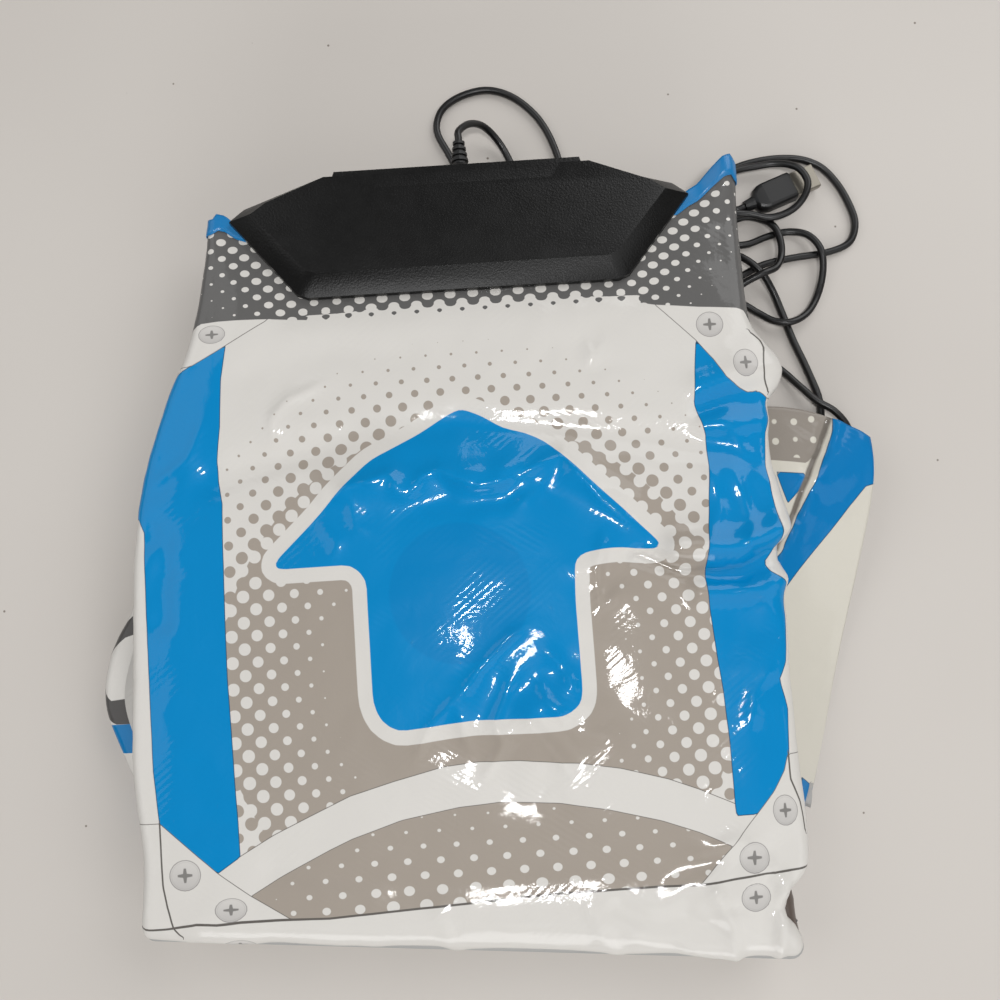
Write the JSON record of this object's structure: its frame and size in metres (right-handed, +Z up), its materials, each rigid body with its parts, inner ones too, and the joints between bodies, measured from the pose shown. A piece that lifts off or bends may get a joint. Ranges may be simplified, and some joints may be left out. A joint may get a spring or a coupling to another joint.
{
  "type": "folded dance mat controller",
  "caption": "Soft pressure-sensing dance mat folded into a bundle under its control box, with its lead and plug.",
  "frame": {"origin": "on the table under the middle of the folded bundle, without the lead and plug", "axes": "+X to the player's right, +Y from the player to the control box, +Z up"},
  "size_m": [0.3722, 0.4212, 0.05],
  "materials": {
    "printed_vinyl": "glossy clear film over print",
    "blue_vinyl": "glossy blue edging",
    "contact_film": "thin translucent film",
    "backing_vinyl": "matt non-slip underside",
    "foam": "open foam",
    "carbon_ink": "printed carbon on film",
    "black_housing": "fine textured moulding",
    "circuit_laminate": "solder mask",
    "chip_epoxy": "moulded epoxy",
    "white_nylon": "plain moulding",
    "zinc_steel": "zinc plated",
    "soft_black_vinyl": "soft satin moulding",
    "lead_sheath": "satin sheath",
    "nickel_shell": "nickel plated",
    "gold_contacts": "gold plated",
    "red_wire": "wire sheath",
    "white_wire": "wire sheath",
    "green_wire": "wire sheath",
    "black_wire": "wire sheath"
  },
  "bodies": {
    "top_row": {"top_row_cover": "printed_vinyl", "top_row_film": "contact_film", "top_row_backing": "backing_vinyl", "rear_edge_binding": "blue_vinyl", "up_foam": "foam", "up_left_foam": "foam", "up_right_foam": "foam", "side_flap_cover": "printed_vinyl", "side_flap_foam": "foam", "side_flap_backing": "backing_vinyl", "upper_housing": "black_housing", "lower_housing": "black_housing", "housing_screw_1": "zinc_steel", "housing_screw_2": "zinc_steel", "housing_screw_3": "zinc_steel", "housing_screw_4": "zinc_steel", "circuit_board": "circuit_laminate", "board_screw_1": "zinc_steel", "board_capacitor_1": "chip_epoxy", "board_screw_2": "zinc_steel", "board_capacitor_2": "chip_epoxy", "controller_chip": "chip_epoxy", "crystal_can": "zinc_steel", "tail_connector": "white_nylon", "film_tail": "contact_film", "wire_red": "red_wire", "wire_white": "white_wire", "wire_green": "green_wire", "wire_black": "black_wire", "lead_sheath_end": "soft_black_vinyl", "strain_relief": "soft_black_vinyl", "lead": "lead_sheath", "plug_body": "soft_black_vinyl", "plug_shell": "nickel_shell", "plug_tongue": "white_nylon", "plug_contact_1": "gold_contacts", "plug_contact_2": "gold_contacts", "plug_contact_3": "gold_contacts", "plug_contact_4": "gold_contacts"},
    "middle_row": {"middle_row_cover": "printed_vinyl", "middle_row_film": "contact_film", "middle_row_backing": "backing_vinyl", "left_foam": "foam", "right_foam": "foam", "centre_foam": "foam"},
    "bottom_row": {"bottom_row_cover": "printed_vinyl", "bottom_row_film": "contact_film", "bottom_row_backing": "backing_vinyl", "down_foam": "foam", "down_left_foam": "foam", "down_right_foam": "foam"},
    "up_contact": {"up_contact": "carbon_ink"},
    "up_left_contact": {"up_left_contact": "carbon_ink"},
    "up_right_contact": {"up_right_contact": "carbon_ink"},
    "left_contact": {"left_contact": "carbon_ink"},
    "right_contact": {"right_contact": "carbon_ink"},
    "down_contact": {"down_contact": "carbon_ink"},
    "down_left_contact": {"down_left_contact": "carbon_ink"},
    "down_right_contact": {"down_right_contact": "carbon_ink"}
  },
  "joints": [
    {"name": "front_fold", "type": "hinge", "parent": "top_row", "child": "middle_row", "pos_m": [0, -0.1727, 0.02565], "axis": [-0.9962, 0.0872, 0], "range_deg": [0, 180]},
    {"name": "rear_fold", "type": "hinge", "parent": "middle_row", "child": "bottom_row", "pos_m": [0, 0.1183, 0.01275], "axis": [1, 0, 0], "range_deg": [0, 180]},
    {"name": "up_press", "type": "slide", "parent": "top_row", "child": "up_contact", "axis": [0, 0, -1], "range_m": [0, 0.0013], "stiffness_N_per_m": 400},
    {"name": "up_left_press", "type": "slide", "parent": "top_row", "child": "up_left_contact", "axis": [0, 0, 1], "range_m": [0, 0.0013], "stiffness_N_per_m": 400},
    {"name": "up_right_press", "type": "slide", "parent": "top_row", "child": "up_right_contact", "axis": [0, 0, 1], "range_m": [0, 0.0013], "stiffness_N_per_m": 400},
    {"name": "left_press", "type": "slide", "parent": "middle_row", "child": "left_contact", "axis": [0, 0, -1], "range_m": [0, 0.0013], "stiffness_N_per_m": 400},
    {"name": "right_press", "type": "slide", "parent": "middle_row", "child": "right_contact", "axis": [0, 0, -1], "range_m": [0, 0.0013], "stiffness_N_per_m": 400},
    {"name": "down_press", "type": "slide", "parent": "bottom_row", "child": "down_contact", "axis": [0, 0, -1], "range_m": [0, 0.0013], "stiffness_N_per_m": 400},
    {"name": "down_left_press", "type": "slide", "parent": "bottom_row", "child": "down_left_contact", "axis": [0, 0, 1], "range_m": [0, 0.0013], "stiffness_N_per_m": 400},
    {"name": "down_right_press", "type": "slide", "parent": "bottom_row", "child": "down_right_contact", "axis": [0, 0, 1], "range_m": [0, 0.0013], "stiffness_N_per_m": 400}
  ],
  "couplings": [
    {"joint": "rear_fold", "follows": "front_fold", "ratio": 1}
  ]
}
